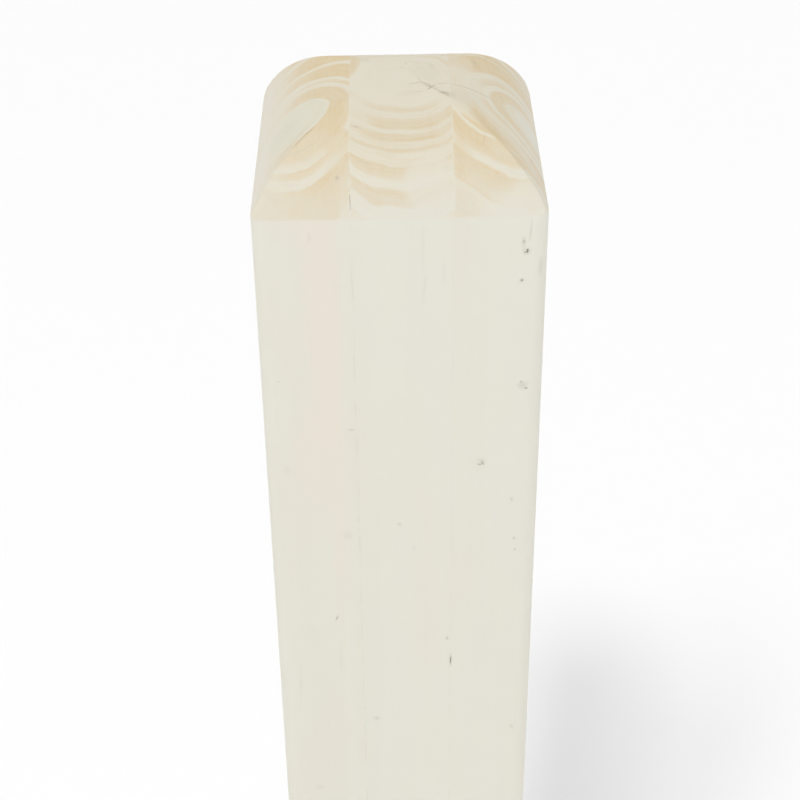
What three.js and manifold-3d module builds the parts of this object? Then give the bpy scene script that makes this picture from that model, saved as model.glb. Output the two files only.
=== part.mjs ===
// Square wooden post, glued up from three upright boards, its head rounded over on all four sides.
// Millimetres, +Z up. The origin is the middle of the sawn foot, and the front looks towards -Y.

import * as THREE from 'three';
import { mergeVertices } from 'three/addons/utils/BufferGeometryUtils.js';
import Module from 'manifold-3d';

// Driving dimensions
const postWidth = 90;         // across each pair of faces
const postHeight = 1000;      // foot to crown
const edgeRadius = 4.7;       // easing of the four long edges
const headRadius = 42.7;      // arc of the rounded head
const headRun = 39.5;         // how far each arc reaches in from its face
const headTwist = 0.38;       // degrees the front and back arcs are milled out of square
const boards = [              // left to right across the front
  { name: 'left_board', width: 30.2, colour: 0xe7e3d6 },
  { name: 'middle_board', width: 31.1, colour: 0xe5e1d5 },
  { name: 'right_board', width: 28.7, colour: 0xe6e2d6 },
];
const glueGap = 0.3;          // clearance left between two boards
const edgeSteps = 8;          // facets round a long edge
const headSteps = 30;         // facets in a quarter turn of the head's arc
const overcut = 20;           // how far a cutting shape runs past the post

// An arc in a shape is split into twice as many pieces as the segments asked for.
const segmentsFor = (steps) => steps / 2;

const wasm = await Module();
wasm.setup();

// A closed geometry as a solid that can be cut.
function toSolid(geometry) {
  geometry.deleteAttribute('normal');
  geometry.deleteAttribute('uv');
  const merged = mergeVertices(geometry, 1e-4);
  return new wasm.Manifold(new wasm.Mesh({
    numProp: 3,
    vertProperties: new Float32Array(merged.attributes.position.array),
    triVerts: new Uint32Array(merged.index.array),
  }));
}

function toGeometry(solid) {
  const { vertProperties, triVerts } = solid.getMesh();
  const geometry = new THREE.BufferGeometry();
  geometry.setAttribute('position', new THREE.BufferAttribute(vertProperties, 3));
  geometry.setIndex(new THREE.BufferAttribute(triVerts, 1));
  geometry.computeVertexNormals();
  return geometry;
}

// The post's plan, a square with eased corners, run up past the crown.
function squarePrism() {
  const half = postWidth / 2;
  const inner = half - edgeRadius;
  const plan = new THREE.Shape();
  plan.moveTo(-inner, -half);
  plan.absarc(inner, -inner, edgeRadius, -Math.PI / 2, 0);
  plan.absarc(inner, inner, edgeRadius, 0, Math.PI / 2);
  plan.absarc(-inner, inner, edgeRadius, Math.PI / 2, Math.PI);
  plan.absarc(-inner, -inner, edgeRadius, Math.PI, Math.PI * 1.5);
  return new THREE.ExtrudeGeometry(plan, {
    depth: postHeight + overcut,
    bevelEnabled: false,
    curveSegments: segmentsFor(edgeSteps),
  });
}

// The head seen square on. Each arc is cut off by the face before it turns upright,
// which leaves a crisp shoulder line round the post.
function headSlab() {
  const centreX = postWidth / 2 - headRun;
  const centreHeight = postHeight - headRadius;
  const profile = new THREE.Shape();
  profile.moveTo(-centreX - headRadius, -overcut);
  profile.lineTo(centreX + headRadius, -overcut);
  profile.absarc(centreX, centreHeight, headRadius, 0, Math.PI / 2);
  profile.absarc(-centreX, centreHeight, headRadius, Math.PI / 2, Math.PI);
  const depth = postWidth + 2 * overcut;
  const slab = new THREE.ExtrudeGeometry(profile, {
    depth,
    bevelEnabled: false,
    curveSegments: segmentsFor(headSteps),
  });
  slab.translate(0, 0, -depth / 2);
  slab.rotateX(Math.PI / 2);
  return slab;
}

// Two slabs crossed give four roundovers that meet in mitred hips. The slight twist makes
// the front shoulder line fall towards the right and the back one towards the left.
function wholePost() {
  const roundedSideways = toSolid(headSlab());
  const quarterTurn = Math.PI / 2 + THREE.MathUtils.degToRad(headTwist);
  const roundedFrontToBack = toSolid(headSlab().rotateZ(quarterTurn));
  return toSolid(squarePrism()).intersect(roundedSideways).intersect(roundedFrontToBack);
}

function uprightSlice(fromX, toX) {
  const slice = new THREE.BoxGeometry(
    toX - fromX, postWidth + 2 * overcut, postHeight + 2 * overcut);
  slice.translate((fromX + toX) / 2, 0, postHeight / 2);
  return toSolid(slice);
}

const post = new THREE.Group();
const whole = wholePost();
let leftX = -postWidth / 2;
boards.forEach((board, index) => {
  const rightX = leftX + board.width;
  const isFirst = index === 0;
  const isLast = index === boards.length - 1;
  const fromX = isFirst ? leftX - overcut : leftX + glueGap / 2;
  const toX = isLast ? rightX + overcut : rightX - glueGap / 2;
  const material = new THREE.MeshStandardMaterial({
    color: board.colour, roughness: 0.62, metalness: 0,
  });
  const mesh = new THREE.Mesh(toGeometry(whole.intersect(uprightSlice(fromX, toX))), material);
  mesh.name = board.name;
  post.add(mesh);
  leftX = rightX;
});

export default post;
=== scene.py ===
import math
import bpy
import numpy as np
from mathutils import Matrix, Vector


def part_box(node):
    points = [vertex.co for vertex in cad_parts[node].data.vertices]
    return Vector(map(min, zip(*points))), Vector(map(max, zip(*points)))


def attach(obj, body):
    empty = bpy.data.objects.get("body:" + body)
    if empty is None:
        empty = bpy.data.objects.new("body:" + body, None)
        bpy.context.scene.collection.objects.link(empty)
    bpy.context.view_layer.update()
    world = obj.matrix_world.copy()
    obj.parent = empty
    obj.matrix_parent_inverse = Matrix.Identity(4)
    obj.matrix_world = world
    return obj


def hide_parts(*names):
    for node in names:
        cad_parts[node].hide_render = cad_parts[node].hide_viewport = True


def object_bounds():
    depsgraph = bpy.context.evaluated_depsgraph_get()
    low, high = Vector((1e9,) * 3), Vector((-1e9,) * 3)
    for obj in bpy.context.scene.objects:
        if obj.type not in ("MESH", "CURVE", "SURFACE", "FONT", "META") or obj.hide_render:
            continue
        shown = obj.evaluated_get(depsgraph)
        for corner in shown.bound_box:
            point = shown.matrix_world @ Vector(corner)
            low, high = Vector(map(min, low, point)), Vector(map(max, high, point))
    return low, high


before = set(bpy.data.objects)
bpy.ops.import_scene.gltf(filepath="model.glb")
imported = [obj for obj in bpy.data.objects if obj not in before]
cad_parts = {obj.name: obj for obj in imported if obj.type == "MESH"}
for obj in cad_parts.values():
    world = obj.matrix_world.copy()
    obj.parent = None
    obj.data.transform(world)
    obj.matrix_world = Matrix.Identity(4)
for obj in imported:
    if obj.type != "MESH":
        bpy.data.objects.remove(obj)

cadBox = [list(corner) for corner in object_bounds()]
mm = 0.001


# the post as it was milled; its width and height come from the frame
post = {
    "edgeRadius": 4.7 * mm,
    "headRadius": 42.7 * mm,
    "headRun": 39.5 * mm,             # how far each arc reaches in from its face
    "headTwist": math.radians(0.38),  # front and back arcs are a little out of square
    "hipSoftness": 1.5 * mm,          # how wide the hips are sanded at the shoulder
    "ringRelief": 0.05 * mm,          # how far the brown rings lie below the white ones
    "cell": 0.45 * mm,                # spacing of the mesh on the head
    "shoulderRows": (0.3 * mm, 0.9 * mm),
    "firstLevelRow": 4 * mm,          # below the shoulder
    "wallStep": 20 * mm,              # between level rows down the post
    "sharpAngle": math.radians(35),   # edges steeper than this stay sharp
}
halfWidth = (cadBox[1][0] - cadBox[0][0]) / 2
crown = cadBox[1][2]
crownMm, halfMm = crown / mm, halfWidth / mm
shoulder = crown - post["headRadius"] + math.sqrt(post["headRadius"] ** 2 - post["headRun"] ** 2)


# camera at the photo's viewing angle, found from the post's outline
camera = {
    "place": (-0.00323, -0.50961, 1.23319),
    "lens": 79.68,
    "down": math.radians(35.025),
    "turn": math.radians(-0.327),
    "roll": math.radians(-0.665),
}
cameraData = bpy.data.cameras.new("camera")
cameraData.lens = camera["lens"]
cameraData.sensor_width = 36
cameraObject = bpy.data.objects.new("camera", cameraData)
bpy.context.scene.collection.objects.link(cameraObject)
cameraObject.matrix_world = (
    Matrix.Translation(camera["place"])
    @ Matrix.Rotation(camera["turn"], 4, "Z")
    @ Matrix.Rotation(math.pi / 2 - camera["down"], 4, "X")
    @ Matrix.Rotation(camera["roll"], 4, "Z")
)
bpy.context.scene.camera = cameraObject
print("camera set")


def deselectAll():
    if bpy.context.object and bpy.context.object.mode != "OBJECT":
        bpy.ops.object.mode_set(mode="OBJECT")
    bpy.ops.object.select_all(action="DESELECT")


def getPoints(obj):
    points = np.empty(len(obj.data.vertices) * 3)
    obj.data.vertices.foreach_get("co", points)
    return points.reshape(-1, 3)


def setPoints(obj, points):
    obj.data.vertices.foreach_set("co", points.ravel())
    obj.data.update()


# height of one arc at a distance in from its face; past the run it is the flat crown
def arcHeight(inset):
    reach = np.maximum(post["headRun"] - inset, 0)
    return crown - post["headRadius"] + np.sqrt(post["headRadius"] ** 2 - reach ** 2)


# the four arcs meet in mitred hips, sanded softer the steeper they are
def headHeight(x, y):
    turnedY = y * math.cos(post["headTwist"]) - x * math.sin(post["headTwist"])
    side = arcHeight(halfWidth - np.abs(x))
    front = arcHeight(halfWidth - np.abs(turnedY))
    lower = np.minimum(side, front)
    soft = post["hipSoftness"] * np.clip((crown - lower) / (crown - shoulder), 0.02, 1)
    overlap = np.clip(soft - np.abs(side - front), 0, None) / soft
    return lower - overlap ** 2 * soft / 4


# mesh lines run evenly along the arcs, not evenly in plan
def lineAcross(distance):
    flat = halfWidth - post["headRun"]
    turn = np.clip(np.abs(distance) - flat, 0, None) / post["headRadius"]
    place = np.minimum(np.abs(distance), flat) + post["headRadius"] * np.sin(turn)
    return np.sign(distance) * place


def distanceTo(place):
    flat = halfWidth - post["headRun"]
    if abs(place) <= flat:
        return place
    turn = math.asin((abs(place) - flat) / post["headRadius"])
    return math.copysign(flat + turn * post["headRadius"], place)


# a square corner of the plan pulled onto the eased edge
def easeCorners(x, y):
    radius = post["edgeRadius"]
    inner = halfWidth - radius
    u = (np.abs(x) - inner) / radius
    v = (np.abs(y) - inner) / radius
    corner = (u > 0) & (v > 0)
    uc, vc = np.where(corner, u, 0), np.where(corner, v, 0)
    easedX = np.where(corner, np.sign(x) * (inner + radius * uc * np.sqrt(1 - vc ** 2 / 2)), x)
    easedY = np.where(corner, np.sign(y) * (inner + radius * vc * np.sqrt(1 - uc ** 2 / 2)), y)
    return easedX, easedY


# The boards in millimetres, seen from above, with notes on the first. A patch on the head is its middle
# x and y, half width and depth, turn in degrees and softness of its edge.
boards = [
    {
        "name": "leftBoard",
        "node": "left_board",
        "pith": (-33.8, -16.2),   # middle of the growth rings at the crown
        "lean": (0.006, -0.004),  # how far the pith moves for each millimetre up
        "wobble": [               # waves that bend the rings: x, y and z frequency, phase, size
            (0.21, 0.13, 0.004, 0.4, 0.25), (-0.11, 0.33, -0.003, 2.1, 0.2),
            (0.52, -0.4, 0.006, 4.0, 0.08),
        ],
        "rings": [   # distance from the pith and how brown it is there, from 0 white to 1 tan
            (0, 0.02), (3.0, 0.1), (3.9, 0.0), (7.6, 0.02), (8.6, 0.13), (11.2, 0.12), (11.8, 0.0),
            (12.5, 0.0), (12.9, 0.9), (13.6, 0.8), (18.6, 0.8), (19.8, 0.2), (20.6, 0.0), (21.3, 0.0),
            (21.5, 0.75), (22.8, 0.5), (23.5, 0.05), (24.9, 0.0), (25.2, 0.95), (32.4, 0.85),
            (32.9, 0.1), (34.4, 0.1), (35.0, 0.95), (43.0, 0.95), (43.6, 0.2), (46.0, 0.2), (47.0, 0.8),
            (60, 0.8),
        ],
        "washes": [  # thicker or thinner glaze: a patch, how brown it leaves the wood, strength
            (-45, 0, 12.5, 60, 0, 0.4, 0.12, 0.85), (-39, -22, 7, 12, 0, 0.5, 0.15, 0.5),
            (-30, -44, 18, 3.6, 0, 0.7, 0.45, 0.5), (-15.5, -41.5, 2.6, 6, -14, 0.5, 0.35, 0.6),
            (-18.6, -29.8, 4.6, 3.0, 25, 0.3, 0.8, 0.85), (-33, 8.4, 4.5, 2.4, 5, 0.5, 0.05, 0.8),
            (-17.2, -31.0, 3.0, 2.6, 30, 0.6, 0.42, 0.7), (-29, -31.5, 9, 4.2, 5, 0.5, 0.42, 0.6),
            (-19.5, -35.0, 3.4, 2.2, 30, 0.7, 0.42, 0.6),
        ],
        "coats": [(-46, -4, 11, 22, 0, 0.8, 0.3)],        # whiter glaze: a patch, strength
        "mute": 0.05,                                     # how much grey goes into the brown
        "core": (-31.0, -15.6, 9.3, 11.3, 0, 0.14, 0.3),  # cool tint round the pith: a patch, strength
        "stains": [  # grey: a patch, strength
            (-34.5, -16.5, 3.0, 3.6, 10, 0.5, 0.05), (-18.5, -12, 3.0, 14, 0, 0.7, 0.02),
            (-28.3, -28.5, 4.8, 0.3, 43, 0.6, 0.25), (-31.5, -27.5, 6.0, 0.5, 40, 0.7, 0.16),
            (-18.6, -38.6, 0.6, 0.5, 0, 0.6, 0.3),
        ],
    },
    {
        "name": "middleBoard",
        "node": "middle_board",
        "pith": (1.2, -1.4),
        "lean": (-0.003, 0.005),
        "wobble": [
            (0.26, 0.09, 0.003, 1.2, 0.25), (0.42, 0.21, -0.004, 3.3, 0.12),
            (0.65, 0.3, 0.005, 5.0, 0.06),
        ],
        "rings": [
            (0, 0.05), (14, 0.08), (16.6, 0.02), (17.2, 0.0), (18.1, 0.35), (19.4, 0.42), (20.2, 0.16),
            (22.3, 0.16), (23.0, 0.55), (25.4, 0.66), (25.9, 0.16), (26.8, 0.14), (27.3, 0.52),
            (29.0, 0.72), (29.5, 0.2), (30.9, 0.24), (31.4, 0.7), (31.9, 0.66), (32.3, 0.14),
            (34.9, 0.14), (35.3, 0.75), (37.4, 0.5), (37.9, 0.02), (39.4, 0.02), (39.8, 0.8),
            (42.0, 0.55), (42.5, 0.02), (44.4, 0.05), (45.2, 0.6), (47.4, 0.6), (48.0, 0.08),
        ],
        "washes": [
            (-14, -23.5, 5.5, 5.5, 0, 0.45, 0.12, 0.75), (10.6, -39.5, 9.6, 5.0, 0, 0.12, 0.12, 0.76),
            (0, -45, 20, 1.4, 0, 0.5, 0.05, 0.7), (-15.6, 8.5, 3.6, 8.5, -8, 0.25, 0.85, 0.85),
            (-10.8, 3, 1.1, 8, -22, 0.5, 0.0, 0.8), (14, -31, 2.4, 9, 0, 0.5, 0.15, 0.5),
            (-13.5, -16.5, 3.4, 4.0, 0, 0.6, 0.12, 0.8), (13.6, -15.5, 2.6, 3.6, 0, 0.6, 0.12, 0.7),
        ],
        "coats": [(9, -41, 8, 6, 0, 0.4, 0.35), (0, 24, 30, 6, 0, 0.4, 0.5)],
        "mute": 0.12,
        "core": (0.5, -1, 13.5, 14.5, 0, 0.4, 0.14),
        "stains": [
            (0, -24, 17, 9, 0, 0.7, 0.06), (8.6, 2.5, 4.6, 7.4, 8, 0.25, 0.07),
            (10.6, 6.4, 0.9, 2.6, 12, 0.7, 0.09), (9.8, -8.4, 2.6, 1.1, -35, 0.7, 0.28),
            (4.0, -12.5, 5.0, 1.6, 20, 0.7, 0.07), (14.4, -12.3, 2.0, 1.3, -25, 0.6, 0.32),
            (-9.8, 11, 1.3, 1.4, 30, 0.7, 0.14), (1.5, 4.6, 1.2, 0.7, -40, 0.7, 0.14),
            (-12.9, -25.9, 1.9, 0.4, -18, 0.6, 0.22),
        ],
    },
    {
        "name": "rightBoard",
        "node": "right_board",
        "pith": (42.0, -1.7),
        "lean": (0.004, 0.003),
        "spread": {"angle": -38, "start": 30.0, "amount": 0.26},  # rings wider apart beyond the start
        "wobble": [
            (0.18, 0.22, 0.004, 2.6, 0.3), (-0.34, 0.17, 0.003, 0.9, 0.16),
            (0.5, 0.45, -0.005, 3.0, 0.08),
        ],
        "rings": [
            (0, 0.0), (4.6, 0.0), (5.8, 0.35), (7.2, 0.1), (8.4, 0.6), (12.4, 0.75), (13.3, 0.02),
            (14.9, 0.0), (15.4, 0.7), (18.0, 0.4), (18.6, 0.1), (20.8, 0.12), (21.5, 0.95), (28.8, 0.9),
            (30.0, 1.0), (30.35, 0.0), (30.65, 0.0), (31.0, 0.95), (34.0, 0.8), (34.9, 0.15),
            (36.2, 0.0), (36.5, 0.9), (40.2, 0.6), (40.8, 0.9), (41.1, 0.0), (41.7, 0.05), (43.4, 0.4),
            (52, 0.6),
        ],
        "washes": [
            (19.5, -2, 8.5, 14.5, 0, 0.3, 0.1, 0.85), (39, -42.5, 13, 3.6, 8, 0.5, 0.06, 0.8),
            (20, 15, 5, 5, 30, 0.5, 0.35, 0.6), (18.6, -18.4, 4.4, 2.8, -38, 0.35, 0.1, 0.9),
            (22.0, -22.2, 5.5, 1.3, -43, 0.5, 0.3, 0.85), (31.5, -32.8, 5, 1.6, -22, 0.6, 0.35, 0.45),
            (28.5, -27.6, 7.5, 1.3, -45, 0.6, 1.0, 0.85), (19.5, -42.5, 4.5, 3.0, 0, 0.6, 0.6, 0.5),
            (18.2, -32.8, 3.2, 5, 0, 0.7, 0.9, 0.5), (33, -22.5, 12, 3.2, -42, 0.45, 0.2, 0.8),
        ],
        "coats": [(46, -12, 7, 40, 0, 0.6, 0.2), (38, -43, 12, 4, 6, 0.5, 0.3)],
        "mute": 0.07,
        "core": (43, -2, 5, 7, 0, 0.4, 0.25),
        "stains": [
            (21, -11, 5.5, 4.5, 0, 0.5, 0.07), (24.9, 17.6, 0.9, 2.8, 6, 0.8, 0.2),
            (16.4, -12.2, 1.4, 1.8, 0, 0.5, 0.12), (27.0, -26.6, 6.0, 0.9, -44, 0.6, 0.16),
            (35.5, -35.3, 6.0, 0.35, -45, 0.6, 0.28), (23.6, -4.1, 7.2, 0.25, 3, 0.6, 0.3),
        ],
    },
]
ringSpan = 70.0  # millimetres across a ring ramp
headReach = 400.0  # how far a patch on the head reaches down the post


# distance from the pith, bent as the rings are
def ringRadius(board, x, y, z):
    x, y, z = x / mm, y / mm, z / mm
    dx = x - board["pith"][0] - board["lean"][0] * (z - crownMm)
    dy = y - board["pith"][1] - board["lean"][1] * (z - crownMm)
    radius = np.sqrt(dx ** 2 + dy ** 2)
    ring = radius
    if "spread" in board:
        spread = board["spread"]
        angle = math.radians(spread["angle"])
        along = (dx * math.sin(angle) - dy * math.cos(angle)) / np.maximum(radius, 0.01)
        beyond = np.clip(radius - spread["start"], 0, None)
        ring = radius - spread["amount"] * beyond * np.clip(along, 0, None) ** 6
    for kx, ky, kz, phase, size in board["wobble"]:
        ring = ring + size * np.sin(kx * x + ky * y + kz * z + phase)
    return ring


# one board: a grid laid over its part of the head, pulled into shape, its rim run down to the foot
def makeBoard(board, fromX, toX):
    deselectAll()
    start, end = distanceTo(fromX), distanceTo(toX)
    reach = distanceTo(halfWidth)
    cellsAcross = round((end - start) / post["cell"])
    cellsDeep = round(2 * reach / post["cell"])
    bpy.ops.mesh.primitive_grid_add(x_subdivisions=cellsAcross, y_subdivisions=cellsDeep, size=1)
    obj = bpy.context.object
    obj.name = board["name"]
    points = getPoints(obj)
    x = lineAcross(start + (points[:, 0] + 0.5) * (end - start))
    y = lineAcross(points[:, 1] * 2 * reach)
    x, y = easeCorners(x, y)
    z = headHeight(x, y)
    setPoints(obj, np.stack([x, y, z], axis=1))

    # two short rows under the rim keep the shoulder crisp
    bpy.ops.object.mode_set(mode="EDIT")
    bpy.ops.mesh.select_all(action="SELECT")
    bpy.ops.mesh.region_to_loop()
    for step in post["shoulderRows"]:
        bpy.ops.mesh.extrude_edges_move(TRANSFORM_OT_translate={"value": (0, 0, -step)})
    # then level rows down to the foot
    top = shoulder - post["firstLevelRow"]
    rows = round(top / post["wallStep"])
    bpy.ops.mesh.extrude_edges_move(TRANSFORM_OT_translate={"value": (0, 0, -mm)})
    bpy.ops.transform.resize(value=(1, 1, 0))
    bpy.ops.object.mode_set(mode="OBJECT")
    chosen = np.empty(len(obj.data.vertices), dtype=bool)
    obj.data.vertices.foreach_get("select", chosen)
    points = getPoints(obj)
    points[chosen, 2] = top
    setPoints(obj, points)
    bpy.ops.object.mode_set(mode="EDIT")
    for row in range(rows):
        bpy.ops.mesh.extrude_edges_move(TRANSFORM_OT_translate={"value": (0, 0, -top / rows)})
    bpy.ops.mesh.edge_face_add()
    bpy.ops.mesh.select_all(action="SELECT")
    bpy.ops.mesh.normals_make_consistent(inside=False)
    bpy.ops.object.mode_set(mode="OBJECT")

    # the brown rings lie a hair lower than the white ones on the end grain
    points = getPoints(obj)
    ring = ringRadius(board, points[:, 0], points[:, 1], points[:, 2])
    brown = np.interp(ring, [r for r, tone in board["rings"]], [tone for r, tone in board["rings"]])
    onHead = headHeight(points[:, 0], points[:, 1]) - points[:, 2] < 0.01 * mm
    inset = halfWidth - np.abs(points[:, :2]).max(axis=1)
    fade = np.clip(inset / mm, 0, 1) * onHead
    points[:, 2] -= post["ringRelief"] * brown * fade
    setPoints(obj, points)
    print(obj.name, "modelled,", len(obj.data.polygons), "faces")
    return obj


# small helpers for building materials
class Shader:
    def __init__(self, name):
        self.material = bpy.data.materials.new(name)
        self.material.use_nodes = True
        self.tree = self.material.node_tree
        self.tree.nodes.clear()

    def add(self, kind, inputs=None, **settings):
        node = self.tree.nodes.new(kind)
        for key, value in settings.items():
            setattr(node, key, value)
        for key, value in (inputs or {}).items():
            self.feed(node.inputs[key], value)
        return node

    def feed(self, socket, value):
        if isinstance(value, bpy.types.NodeSocket):
            self.tree.links.new(value, socket)
        else:
            socket.default_value = value

    def math(self, operation, a, b=0.0):
        node = self.add("ShaderNodeMath", operation=operation)
        self.feed(node.inputs[0], a)
        self.feed(node.inputs[1], b)
        return node.outputs[0]

    def plus(self, a, b):
        return self.math("ADD", a, b)

    def minus(self, a, b):
        return self.math("SUBTRACT", a, b)

    def times(self, a, b):
        return self.math("MULTIPLY", a, b)

    def larger(self, a, b):
        return self.math("MAXIMUM", a, b)

    def step(self, value, low, high, toLow=0.0, toHigh=1.0):
        inputs = {"Value": value, "From Min": low, "From Max": high, "To Min": toLow, "To Max": toHigh}
        node = self.add("ShaderNodeMapRange", inputs, interpolation_type="SMOOTHSTEP")
        return node.outputs["Result"]

    def noise(self, vector, scale, detail=2.0, rough=0.5):
        inputs = {"Vector": vector, "Scale": scale, "Detail": detail, "Roughness": rough}
        return self.add("ShaderNodeTexNoise", inputs).outputs["Fac"]

    def stretch(self, vector, scale):
        return self.add("ShaderNodeMapping", {"Vector": vector, "Scale": scale}).outputs["Vector"]

    # mixes two colours
    def mix(self, amount, a, b):
        return self.add("ShaderNodeMix", {0: amount, 6: a, 7: b}, data_type="RGBA").outputs[2]

    # mixes two numbers
    def blend(self, amount, a, b):
        return self.add("ShaderNodeMix", {0: amount, 2: a, 3: b}, data_type="FLOAT").outputs[0]

    # an ellipse with a soft, frayed edge, 1 inside it and 0 outside
    def blob(self, middle, half, turned, soft):
        inputs = {"Vector": self.place, "Location": middle, "Rotation": turned, "Scale": half}
        local = self.add("ShaderNodeMapping", inputs, vector_type="TEXTURE").outputs[0]
        away = self.add("ShaderNodeVectorMath", {0: local}, operation="LENGTH").outputs["Value"]
        away = self.plus(away, self.times(self.minus(self.ragged, 0.5), soft))
        return self.step(away, 1.0 + soft, 1.0 - soft)

    def ramp(self, value, stops):
        node = self.add("ShaderNodeValToRGB", {"Fac": value})
        elements = node.color_ramp.elements
        while len(elements) < len(stops):
            elements.new(1.0)
        for element, (place, tone) in zip(elements, stops):
            element.position = place
            element.color = (tone, tone, tone, 1)
        return node.outputs["Color"]


# colours of the glaze on the faces, of the end grain, and of the dirt in cracks
finish = {
    "whiteGlaze": (0.812, 0.792, 0.705, 1),
    "warmGlaze": (0.82, 0.785, 0.685, 1),
    "thinGlaze": (0.845, 0.765, 0.67, 1),
    "streakGlaze": (0.79, 0.765, 0.67, 1),
    "paleEnd": (0.815, 0.77, 0.64, 1),
    "tanEnd": (0.78, 0.62, 0.372, 1),
    "greyEnd": (0.47, 0.405, 0.30, 1),
    "coolEnd": (0.735, 0.735, 0.605, 1),
    "dirt": (0.22, 0.21, 0.175, 1),
}

# how the glaze lies, mostly as strengths from 0 to 1
glaze = {
    "jointWhite": 0.65,         # over the joints on the head
    "lowWhite": 0.55,           # low on the head
    # the shoulder coat is whiter glaze and partly a painted highlight along the shoulder edge
    "shoulderCoatAndHighlight": 0.36,       # just over the shoulder
    "pores": 0.16,              # grey of the pores in the end grain
    "clouds": 0.5,              # warmer areas of the faces
    "fibres": 0.35,             # fine streaks down the faces
    "broadStreaks": 0.3,
    "glueLines": (0.11, 0.05),  # how dark the two of them show on the faces
    "roughness": (0.52, 0.66),
    "specular": 0.3,
    "bump": 0.25,
    "bumpHeight": 0.08 * mm,
}

# The front face has patches in the same terms, with z in place of y: where the wood shows warmer through
# the glaze, and dirt drawn into it.
warmPatches = [
    (-24.0, 940.0, 5.5, 42.0, -2, 0.5, 0.6), (-27.0, 885.0, 7.0, 26.0, 3, 0.6, 0.45),
    (-30.5, 972.0, 9.0, 6.0, 0, 0.8, 0.35), (-20.5, 846.0, 3.0, 26.0, 0, 0.8, 0.35),
    (8.0, 820.0, 5.0, 50.0, 0, 0.8, 0.2),
]
faceStains = [
    (37.4, 965.1, 0.64, 1.4, 0, 0.8, 0.2), (39.4, 969.0, 0.4, 3.4, 4, 0.6, 0.12),
    (38.3, 962.0, 1.1, 1.1, 0, 0.8, 0.23), (37.2, 951.7, 0.72, 0.77, 0, 0.8, 0.2),
    (38.6, 912.6, 1.4, 1.4, 30, 0.8, 0.18), (25.8, 882.2, 1.4, 1.3, 0, 0.8, 0.14),
    (42.9, 955.9, 0.8, 3.0, 0, 0.6, 0.12), (-10.4, 765.4, 1.3, 1.1, 0, 0.8, 0.091),
    (-1.1, 856.5, 0.88, 0.85, 0, 0.8, 0.091), (-18.7, 852.1, 1.4, 1.4, 30, 0.8, 0.058),
    (-38.0, 880.1, 0.96, 1.7, 0, 0.8, 0.058), (-32.5, 729.5, 1.3, 1.1, 0, 0.8, 0.058),
    (-16.6, 896.0, 1.3, 0.42, 0, 0.8, 0.091), (36.3, 866.5, 0.64, 1, 0, 0.8, 0.091),
    (37.5, 849.7, 0.56, 0.77, 0, 0.8, 0.091), (38.0, 844.8, 0.56, 0.68, 0, 0.8, 0.091),
    (39.1, 760.2, 0.64, 0.94, 0, 0.8, 0.091), (6.9, 964.0, 0.5, 7.0, 0, 0.8, 0.045),
    (7.3, 949.0, 0.5, 5.0, 5, 0.8, 0.05), (13.3, 955.0, 0.5, 4.0, 0, 0.8, 0.04),
    (-27.4, 967.6, 0.48, 1.7, 0, 0.8, 0.058), (-22.7, 794.6, 0.5, 5.0, 0, 0.8, 0.055),
    (-37.4, 783.5, 0.5, 8.0, 2, 0.8, 0.055), (3.6, 846.0, 0.56, 1.4, 0, 0.8, 0.065),
    (15.1, 804.4, 0.5, 0.8, 0, 0.6, 0.2), (16.4, 793.8, 0.5, 2.6, 0, 0.6, 0.25),
    (-23.5, 814.7, 0.4, 1.4, 20, 0.6, 0.2),
]
warmReach, stainReach = 20.0, 3.0  # how far they go in from the face


def headMask(s, patch):
    x, y, halfX, halfY, turn, soft = patch
    return s.blob((x, y, crownMm), (halfX, halfY, headReach), (0, 0, math.radians(turn)), soft)


def faceMask(s, patch, reach):
    x, z, halfX, halfZ, turn, soft = patch
    return s.blob((x, -halfMm, z), (halfX, reach, halfZ), (0, math.radians(turn), 0), soft)


# the same distance from the pith as ringRadius gives, with a finer tremor
def ringDistance(s, board):
    drop = s.minus(s.z, crownMm)
    dx = s.minus(s.minus(s.x, board["pith"][0]), s.times(drop, board["lean"][0]))
    dy = s.minus(s.minus(s.y, board["pith"][1]), s.times(drop, board["lean"][1]))
    radius = s.math("SQRT", s.plus(s.times(dx, dx), s.times(dy, dy)))
    ring = radius
    if "spread" in board:
        spread = board["spread"]
        angle = math.radians(spread["angle"])
        along = s.minus(s.times(dx, math.sin(angle)), s.times(dy, math.cos(angle)))
        along = s.larger(s.math("DIVIDE", along, s.larger(radius, 0.01)), 0.0)
        beyond = s.larger(s.minus(radius, spread["start"]), 0.0)
        ring = s.minus(radius, s.times(s.times(beyond, s.math("POWER", along, 6.0)), spread["amount"]))
    for kx, ky, kz, phase, size in board["wobble"]:
        wave = s.add("ShaderNodeVectorMath", {0: s.place, 1: (kx, ky, kz)}, operation="DOT_PRODUCT")
        wave = s.math("SINE", s.plus(wave.outputs["Value"], phase))
        ring = s.plus(ring, s.times(wave, size))
    tremor = s.noise(s.stretch(s.place, (1, 1, 0.02)), 0.2)
    return s.plus(ring, s.minus(tremor, 0.5))


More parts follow.
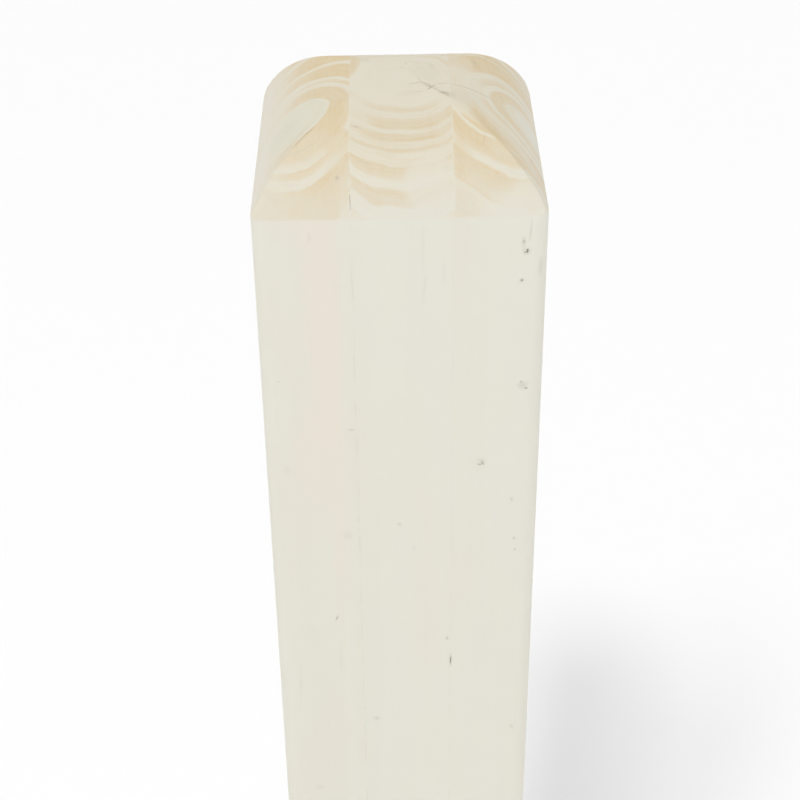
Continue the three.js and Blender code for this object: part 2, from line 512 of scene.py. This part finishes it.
# how brown each ring is, from 0 white to 1 tan, after the glaze was brushed on unevenly
def headBrown(s, board, ring, fineLines, jointPlaces):
    brown = s.ramp(s.math("DIVIDE", ring, ringSpan), [(r / ringSpan, tone) for r, tone in board["rings"]])
    outside = s.step(ring, 10.0, 17.0)  # the fine lines fade towards the pith
    brown = s.plus(brown, s.times(outside, s.step(fineLines, 0.36, 0.66, -0.16, 0.16)))
    brown = s.larger(brown, s.times(outside, s.step(fineLines, 0.4, 0.75, 0.0, 0.3)))
    for *patch, target, amount in board["washes"]:
        brown = s.blend(s.times(headMask(s, patch), amount), brown, target)
    for joint in jointPlaces:
        away = s.math("ABSOLUTE", s.minus(s.x, joint / mm))
        line = s.step(s.plus(away, s.times(s.ragged, 1.8)), 1.6, 0.7, 0.0, glaze["jointWhite"])
        line = s.times(line, s.step(s.y, -14.0, -26.0, 0.35, 1.0))
        brown = s.blend(line, brown, 0.0)
    strokes = s.noise(s.stretch(s.place, (0.9, 0.1, 0.1)), 1.0, 3.0, 0.6)
    brown = s.times(brown, s.step(strokes, 0.32, 0.68, 1.0, 0.86))
    uneven = s.noise(s.place, 0.16, 4.0, 0.6)
    return s.times(brown, s.step(uneven, 0.3, 0.62, 0.8, 1.0))


# end grain starts over the shoulder line, with a frayed edge, and again at the sawn foot
def endGrainMask(s):
    radiusMm = post["headRadius"] / mm
    turnedY = s.minus(s.y, s.times(s.x, math.sin(post["headTwist"])))
    fromSide = s.minus(halfMm, s.math("ABSOLUTE", s.x))
    fromFront = s.minus(halfMm, s.math("ABSOLUTE", turnedY))
    inset = s.math("MINIMUM", fromSide, fromFront)
    reach = s.larger(s.minus(post["headRun"] / mm, inset), 0.0)
    arc = s.math("SQRT", s.minus(radiusMm ** 2, s.times(reach, reach)))
    above = s.minus(s.z, s.plus(arc, crownMm - radiusMm))
    fray = s.noise(s.place, 0.6, 3.0, 0.6)
    edge = s.plus(s.plus(above, s.times(inset, 2.5)), s.times(s.minus(fray, 0.5), 0.9))
    return s.larger(s.step(edge, -0.35, 0.85), s.step(s.z, 0.8, 0.2))


# pores, grey stains, glaze that lies thicker lower down on the head, and a painted highlight that whitens
# the head just over the shoulder
def endGrainColour(s, board, brown, fineLines, pores):
    raggedZ = s.plus(s.z, s.times(s.ragged, 5.0))
    lowGlaze = s.step(raggedZ, crownMm - 8.0, crownMm - 21.0, 0.0, glaze["lowWhite"])
    colour = s.mix(brown, s.mix(lowGlaze, finish["paleEnd"], finish["whiteGlaze"]), finish["tanEnd"])
    colour = s.mix(s.times(brown, board["mute"]), colour, finish["greyEnd"])
    colour = s.mix(s.step(pores, 0.5, 0.8, 0.0, glaze["pores"]), colour, finish["greyEnd"])
    colour = s.mix(s.step(fineLines, 0.5, 0.3, 0.0, 0.09), colour, finish["greyEnd"])
    *patch, amount = board["core"]
    colour = s.mix(s.times(headMask(s, patch), amount), colour, finish["coolEnd"])
    for *patch, amount in board["stains"]:
        colour = s.mix(s.times(headMask(s, patch), amount), colour, finish["greyEnd"])
    # whiter towards the shoulder: partly glaze, partly a painted highlight along the shoulder edge
    glazeAndHighlight = s.step(raggedZ, crownMm - 4.0, crownMm - 24.0, 0.0, glaze["shoulderCoatAndHighlight"])
    for *patch, amount in board["coats"]:
        glazeAndHighlight = s.larger(glazeAndHighlight, s.times(headMask(s, patch), amount))
    return s.mix(glazeAndHighlight, colour, finish["whiteGlaze"])


# fibres, broad streaks, clouds and patches under the white glaze of the faces
def longGrainColour(s, brown, fibre, jointPlaces):
    broad = s.noise(s.stretch(s.place, (1, 1, 0.03)), 0.11)
    clouds = s.noise(s.stretch(s.place, (1, 1, 0.35)), 0.05, 3.0, 0.6)
    warmer = s.step(clouds, 0.42, 0.66, 0.0, glaze["clouds"])
    colour = s.mix(warmer, finish["whiteGlaze"], finish["warmGlaze"])
    colour = s.mix(s.times(brown, 0.07), colour, finish["tanEnd"])
    colour = s.mix(s.step(fibre, 0.5, 0.8, 0.0, glaze["fibres"]), colour, finish["streakGlaze"])
    colour = s.mix(s.step(broad, 0.45, 0.7, 0.0, glaze["broadStreaks"]), colour, finish["streakGlaze"])
    for *patch, amount in warmPatches:
        colour = s.mix(s.times(faceMask(s, patch, warmReach), amount), colour, finish["thinGlaze"])
    for *patch, amount in faceStains:
        colour = s.mix(s.times(faceMask(s, patch, stainReach), amount), colour, finish["dirt"])

    # the glue lines wander a little, and come and go
    wander = s.noise(s.stretch(s.place, (0, 0, 0.02)), 1.0, 3.0, 0.6)
    broken = s.noise(s.stretch(s.place, (0, 0, 0.07)), 1.0, 3.0, 0.6)
    for joint, strength in zip(jointPlaces, glaze["glueLines"]):
        away = s.plus(s.minus(s.x, joint / mm), s.times(s.minus(wander, 0.5), 2.2))
        line = s.step(s.math("ABSOLUTE", away), 0.5, 0.1, 0.0, strength)
        line = s.times(line, s.step(broken, 0.44, 0.6, 0.1, 1.0))
        colour = s.mix(line, colour, finish["greyEnd"])
    return colour


def boardMaterial(board, jointPlaces):
    s = Shader(board["node"].replace("_", " "))
    coords = s.add("ShaderNodeTexCoord").outputs["Object"]
    s.place = s.add("ShaderNodeVectorMath", {0: coords, "Scale": 1 / mm}, operation="SCALE").outputs[0]
    s.x, s.y, s.z = s.add("ShaderNodeSeparateXYZ", {0: s.place}).outputs
    s.ragged = s.noise(s.place, 0.35, 3.0, 0.6)  # frays the edges of patches

    # fine lines follow the rings, fibres run down the post
    ring = ringDistance(s, board)
    alongRings = {0: s.times(ring, 1.15), 1: s.times(s.x, 0.07), 2: s.times(s.y, 0.07)}
    fineLines = s.noise(s.add("ShaderNodeCombineXYZ", alongRings).outputs[0], 1.0, 4.0, 0.62)
    pores = s.noise(s.stretch(s.place, (1, 1, 0.05)), 3.2, 3.0, 0.7)
    fibre = s.noise(s.stretch(s.place, (1, 1, 0.012)), 1.6, 4.0, 0.65)

    brown = headBrown(s, board, ring, fineLines, jointPlaces)
    endGrain = endGrainMask(s)
    endColour = endGrainColour(s, board, brown, fineLines, pores)
    colour = s.mix(endGrain, longGrainColour(s, brown, fibre, jointPlaces), endColour)

    # fibres and rings felt under the glaze
    feel = s.mix(endGrain, fibre, s.plus(s.times(brown, 0.4), s.times(pores, 0.6)))
    inputs = {"Strength": glaze["bump"], "Distance": glaze["bumpHeight"], "Height": feel}
    bump = s.add("ShaderNodeBump", inputs).outputs[0]
    rough = s.step(fibre, 0.3, 0.7, *glaze["roughness"])
    surface = s.add("ShaderNodeBsdfPrincipled", {"Base Color": colour, "Roughness": rough, "Normal": bump})
    surface.inputs["Specular IOR Level"].default_value = glaze["specular"]
    s.add("ShaderNodeOutputMaterial", {"Surface": surface.outputs[0]})
    return s.material


# Drying cracks on the head run through points (x, y), pits and slits in the front face sit at (x, z),
# all in millimetres.
damage = {
    # width, depth, points on the way
    "cracks": [
        (0.34, 0.5, [(3.2, -7.4), (5.2, -7.2), (7.2, -5.6), (9.2, -7.6), (10.6, -9.6)]),
        (0.17, 0.3, [(10.2, -9.4), (11.6, -7.0), (13.6, -5.6), (15.6, -4.4)]),
        (0.3, 0.45, [(10.6, -9.6), (12.6, -11.2), (14.2, -12.0), (15.4, -13.4)]),
        (0.5, 0.5, [(13.4, -12.6), (14.8, -11.4), (16.0, -11.6)]),
        (0.14, 0.25, [(6.4, -3.0), (7.2, -5.4)]),
        (0.34, 0.45, [(9.2, -10.8), (10.4, -9.4)]),
        (0.24, 0.4, [(16.4, -4.6), (20.0, -4.1), (25.0, -4.2), (30.5, -3.6)]),
        (0.1, 0.16, [(26.0, -28.4), (25.7, -29.8), (25.2, -31.6)]),
        (0.17, 0.25, [(2.4, 8.8), (4.4, 9.2), (7.0, 8.9)]),
        (0.14, 0.2, [(3.0, 8.6), (2.2, 6.4)]),
        (0.1, 0.2, [(2.6, -12.4), (5.4, -12.0), (8.2, -11.6)]),
        (0.24, 0.28, [(-31.5, -31.7), (-28.5, -28.8), (-25.6, -26.2)]),
        (0.7, 0.7, [(14.6, 17.8), (14.9, 20.4)]),
        (0.09, 0.22, [(-15.0, -36.4), (-14.95, -38.6)]),
        (0.17, 0.45, [(-14.85, -41.6), (-14.8, -43.9)]),
        (0.1, 0.15, [(-13.6, -25.6), (-12.2, -26.2)]),
        (0.1, 0.2, [(-12.2, -35.0), (-10.6, -35.4), (-8.8, -36.0)]),
        (0.2, 0.25, [(-18.9, -38.7), (-18.3, -38.5)]),
    ],
    # x, z, half width, half height, depth, turn in degrees
    "pits": [
        (38.6, 962.0, 0.32, 0.8, 0.9, 4), (37.9, 961.5, 0.4, 0.25, 0.5, -20),
        (37.3, 965.3, 0.3, 0.7, 0.4, 5), (37.2, 951.7, 0.5, 0.45, 0.6, 30),
        (38.0, 913.9, 0.4, 0.45, 0.5, 0), (39.7, 911.5, 0.5, 0.4, 0.6, 20),
        (26.4, 881.8, 0.35, 0.95, 0.6, -25), (25.3, 881.3, 0.75, 0.3, 0.5, 10),
        (16.4, 793.8, 0.16, 1.7, 0.5, 2), (15.1, 804.4, 0.2, 0.3, 0.3, 0),
        (-10.4, 765.4, 0.5, 0.18, 0.25, 15), (-10.2, 765.2, 0.18, 0.5, 0.25, 15),
        (-1.1, 856.5, 0.5, 0.16, 0.25, -20), (-16.6, 896.0, 0.8, 0.14, 0.25, 4),
        (-39.1, 915.2, 0.22, 0.22, 0.3, 0), (36.3, 866.5, 0.2, 0.4, 0.3, 10),
        (37.5, 849.7, 0.22, 0.3, 0.3, 0), (38.0, 844.8, 0.2, 0.3, 0.3, 0),
        (39.1, 760.2, 0.25, 0.35, 0.3, 0), (-23.5, 814.7, 0.14, 0.8, 0.3, 20),
        (-24.9, 767.8, 0.2, 0.25, 0.3, 0),
    ],
    "jagged": 0.22,  # how uneven a cutter is, against its size
    "reach": 0.62,   # half the length of a cutter, against the stretch of crack it cuts
}


def dirtMaterial():
    s = Shader("dirt in cracks")
    coords = s.add("ShaderNodeTexCoord").outputs["Object"]
    speckle = s.noise(coords, 2500.0, 3.0, 0.6)
    tone = s.mix(s.step(speckle, 0.35, 0.65), finish["dirt"], finish["greyEnd"])
    surface = s.add("ShaderNodeBsdfPrincipled", {"Base Color": tone, "Roughness": 0.85})
    s.add("ShaderNodeOutputMaterial", {"Surface": surface.outputs[0]})
    return s.material


# a jagged stone-shaped cutter, longest along its own x
def addCutter(middle, half, rotation, seed):
    deselectAll()
    bpy.ops.mesh.primitive_ico_sphere_add(subdivisions=2, radius=1)
    cutter = bpy.context.object
    points = getPoints(cutter)
    jagged = damage["jagged"]
    points *= 1 + np.random.default_rng(seed).uniform(-jagged, jagged, (len(points), 1))
    setPoints(cutter, points)
    cutter.data.transform(Matrix.Translation(middle) @ rotation @ Matrix.Diagonal((*half, 1)))
    return cutter


# each stretch of a crack is one long cutter, a little longer than the stretch so that they overlap
def makeCutters(dirt):
    cutters = []
    for width, depth, path in damage["cracks"]:
        path = [(x * mm, y * mm) for x, y in path]
        for (x0, y0), (x1, y1) in zip(path, path[1:]):
            x, y = (x0 + x1) / 2, (y0 + y1) / 2
            flat = math.hypot(x1 - x0, y1 - y0)
            rise = headHeight(x1, y1) - headHeight(x0, y0)
            heading = Matrix.Rotation(math.atan2(y1 - y0, x1 - x0), 4, "Z")
            climb = Matrix.Rotation(-math.atan2(rise, flat), 4, "Y")
            half = (math.hypot(flat, rise) * damage["reach"], width * mm / 2, depth * mm)
            cutters.append(addCutter((x, y, headHeight(x, y)), half, heading @ climb, len(cutters)))
    for x, z, halfX, halfZ, depth, turn in damage["pits"]:
        rotation = Matrix.Rotation(math.radians(turn), 4, "Y")
        half = (halfX * mm, depth * mm, halfZ * mm)
        cutters.append(addCutter((x * mm, -halfWidth, z * mm), half, rotation, len(cutters)))

    # neighbours overlap, so every second one is joined, and the two sets are then united
    evens, odds = joinAll(cutters[0::2]), joinAll(cutters[1::2])
    combine(evens, odds, "UNION", overlapping=True)
    bpy.data.objects.remove(odds)
    evens.data.materials.append(dirt)
    return evens


def joinAll(objects):
    deselectAll()
    for obj in objects:
        obj.select_set(True)
    bpy.context.view_layer.objects.active = objects[0]
    bpy.ops.object.join()
    return bpy.context.object


def combine(piece, other, operation, overlapping=False):
    deselectAll()
    piece.select_set(True)
    bpy.context.view_layer.objects.active = piece
    modifier = piece.modifiers.new("combine", "BOOLEAN")
    modifier.operation = operation
    modifier.solver = "EXACT"
    modifier.use_self = overlapping
    modifier.material_mode = "TRANSFER"
    modifier.object = other
    bpy.ops.object.modifier_apply(modifier=modifier.name)


# place the boards in their nodes' stead, meeting on the glue lines
boxes = [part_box(board["node"]) for board in boards]
joints = [(boxes[i][1][0] + boxes[i + 1][0][0]) / 2 for i in range(len(boards) - 1)]
sides = [-halfWidth] + joints + [halfWidth]
cutters = makeCutters(dirtMaterial())
for index, board in enumerate(boards):
    piece = makeBoard(board, sides[index], sides[index + 1])
    piece.data.materials.append(boardMaterial(board, joints))
    combine(piece, cutters, "DIFFERENCE")
    deselectAll()
    piece.select_set(True)
    bpy.context.view_layer.objects.active = piece
    bpy.ops.object.shade_smooth_by_angle(angle=post["sharpAngle"])
    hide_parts(board["node"])
    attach(piece, "root")
    print(piece.name, "cut and finished,", len(piece.data.polygons), "faces")
bpy.data.objects.remove(cutters)
print("boards in place")


# floor and light, in metres
studio = {
    "floorSize": 60.0,
    "floorTone": 0.7,
    "skyLevel": 0.64,
    "skyLean": (-0.045, -0.02, 0.31),  # how much brighter it is towards +x, +y and overhead
    "keyPlace": (-0.3, -1.2, 2.15),
    "keySize": 0.7,
    "keyPower": 3.9,
    # lamps for the floor's shadow: degrees above the horizon, left of straight in front, softness, power
    "shadowLamps": [(50, 13, 6, 1.28), (50, 22, 9, 0.95)],
}
deselectAll()
bpy.ops.mesh.primitive_plane_add(size=studio["floorSize"])
floor = bpy.context.object
floor.name = "floor"
s = Shader("floor")
grain = s.noise(s.add("ShaderNodeTexCoord").outputs["Object"], 40.0)
tone = studio["floorTone"]
darker = tone * 0.995
floorColour = s.mix(grain, (tone, tone, tone, 1), (darker, darker, darker, 1))
surface = s.add("ShaderNodeBsdfDiffuse", {"Color": floorColour})
s.add("ShaderNodeOutputMaterial", {"Surface": surface.outputs[0]})
floor.data.materials.append(s.material)

# a white studio, brighter overhead, and one large soft key from the front left
world = bpy.data.worlds.new("studio")
bpy.context.scene.world = world
world.use_nodes = True
nodes, links = world.node_tree.nodes, world.node_tree.links
skyCoords = nodes.new("ShaderNodeTexCoord")
skyLean = nodes.new("ShaderNodeVectorMath")
skyLean.operation = "DOT_PRODUCT"
skyLean.inputs[1].default_value = studio["skyLean"]
skyLevel = nodes.new("ShaderNodeMath")
skyLevel.inputs[1].default_value = studio["skyLevel"]
links.new(skyCoords.outputs["Generated"], skyLean.inputs[0])
links.new(skyLean.outputs["Value"], skyLevel.inputs[0])
links.new(skyLevel.outputs[0], nodes["Background"].inputs["Strength"])
nodes["Background"].inputs["Color"].default_value = (1, 1, 1, 1)

keyData = bpy.data.lights.new("key", "AREA")
keyData.size = studio["keySize"]
keyData.energy = studio["keyPower"]
key = bpy.data.objects.new("key", keyData)
bpy.context.scene.collection.objects.link(key)
towardsHead = Vector((0, 0, crown)) - Vector(studio["keyPlace"])
aim = towardsHead.to_track_quat("-Z", "Y").to_matrix().to_4x4()
key.matrix_world = Matrix.Translation(studio["keyPlace"]) @ aim
key.visible_camera = False

floorOnly = bpy.data.collections.new("floorOnly")
floorOnly.objects.link(floor)
for height, aside, softness, power in studio["shadowLamps"]:
    lampData = bpy.data.lights.new("shadowLamp", "SUN")
    lampData.angle = math.radians(softness)
    lampData.energy = power
    lamp = bpy.data.objects.new("shadowLamp", lampData)
    bpy.context.scene.collection.objects.link(lamp)
    lamp.matrix_world = (
        Matrix.Rotation(-math.radians(aside), 4, "Z")
        @ Matrix.Rotation(math.radians(90 - height), 4, "X")
    )
    lamp.light_linking.receiver_collection = floorOnly
bpy.context.scene.view_settings.view_transform = "Standard"
print("stage lit")
